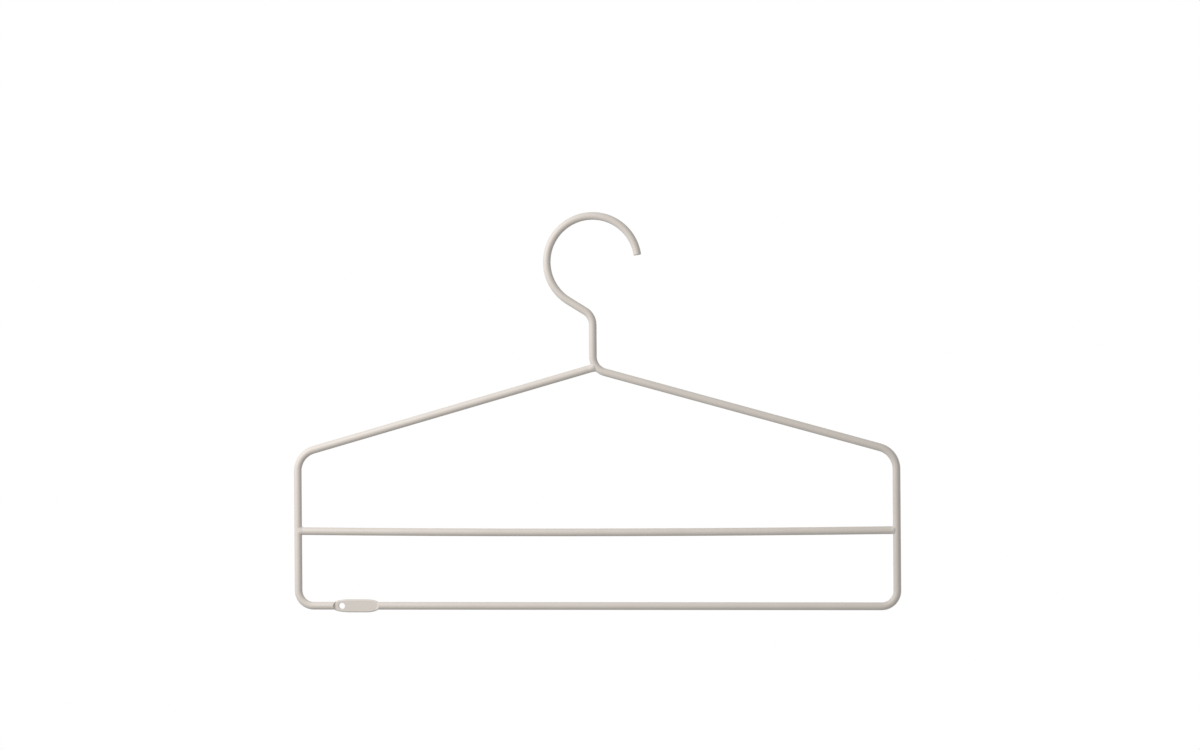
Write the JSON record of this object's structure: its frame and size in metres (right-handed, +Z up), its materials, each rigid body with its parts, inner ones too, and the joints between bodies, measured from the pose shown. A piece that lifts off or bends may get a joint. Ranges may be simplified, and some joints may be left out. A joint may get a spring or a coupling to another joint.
{
  "type": "trouser hanger",
  "caption": "Wide flat clothes hanger of bent, powder-coated steel rod: open hook, sloping shoulders, square lower frame with a crossbar, and a small flat oval tag with a hole.",
  "frame": {"origin": "inner crown of the hook, where the hanger rests on a rail, on the rod's underside", "axes": "+Z up, +X along the hanger's width towards the side that the hook opens to, +Y from the front face to the back"},
  "size_m": [0.41, 0.006, 0.2693],
  "materials": {
    "coat": "matt, fine-grained powder coat in a warm light grey",
    "coat_on_weld": "the same matt powder coat, a little thicker over the rippled weld metal",
    "coat_on_tag": "the same matt powder coat over the flat coined pad"
  },
  "bodies": {
    "root": {"hook": "coat", "right_shoulder": "coat", "right_side": "coat", "bottom_bar": "coat", "tag": "coat_on_tag", "left_side": "coat", "left_shoulder": "coat", "crossbar": "coat", "neck_weld": "coat_on_weld", "left_weld": "coat_on_weld", "right_weld": "coat_on_weld"}
  },
  "joints": []
}
